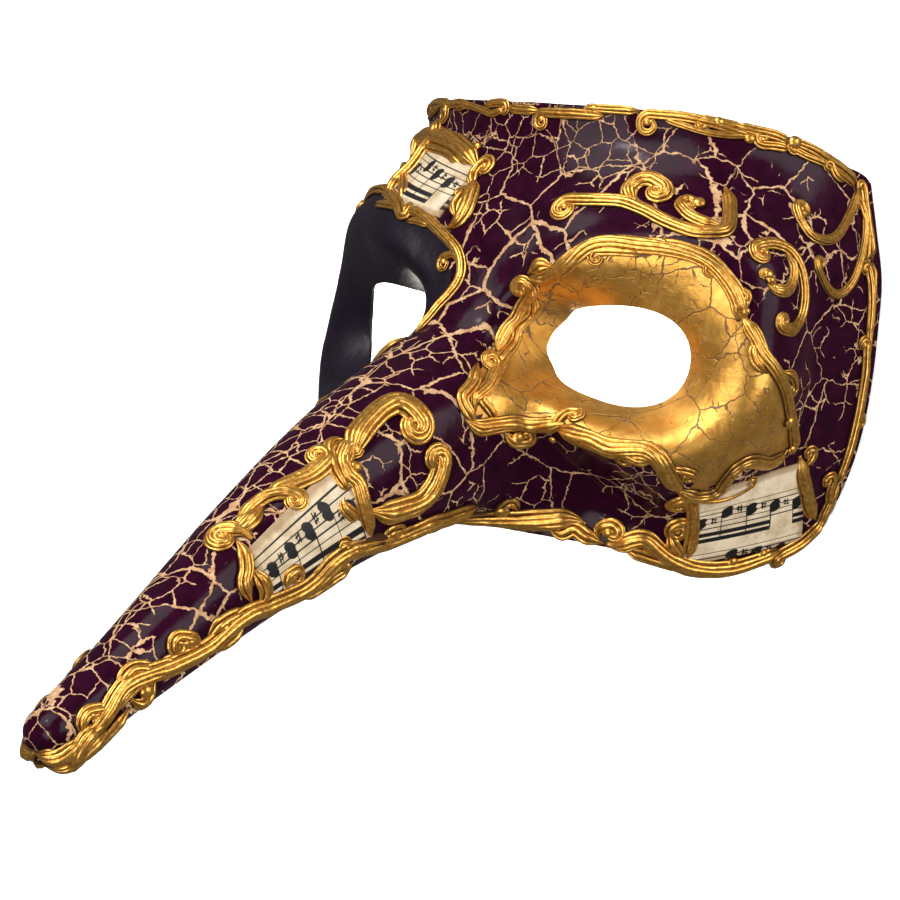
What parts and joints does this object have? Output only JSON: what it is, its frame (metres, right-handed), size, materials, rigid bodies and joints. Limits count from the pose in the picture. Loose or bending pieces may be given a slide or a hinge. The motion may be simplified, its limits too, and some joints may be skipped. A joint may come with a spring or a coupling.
{
  "type": "long-nosed half mask",
  "caption": "Hollow papier-mâché half mask with a long drooping nose and two eye holes, trimmed with gilt scrollwork and music paper.",
  "frame": {"origin": "under the middle of the whole mask, on the plane that the two side edges of the rim rest on", "axes": "+Z forward out of the face, +Y up the wearer's face, +X to the wearer's left"},
  "size_m": [0.1782, 0.1862, 0.2377],
  "materials": {
    "papier_mache": "aubergine paint over cream, crackled, under clear varnish",
    "gilt_gesso": "piped gesso under antiqued gold",
    "music_paper": "printed paper, yellowed, under varnish"
  },
  "bodies": {
    "root": {"mask_shell": "papier_mache", "gilt_rim_braid": "gilt_gesso", "gilt_eye_frame_left": "gilt_gesso", "gilt_eye_frame_right": "gilt_gesso", "gilt_brow_scroll": "gilt_gesso", "gilt_temple_comma": "gilt_gesso", "gilt_nose_band": "gilt_gesso", "music_paper_cheek": "music_paper", "music_paper_brow": "music_paper", "music_paper_nose": "music_paper"}
  },
  "joints": []
}
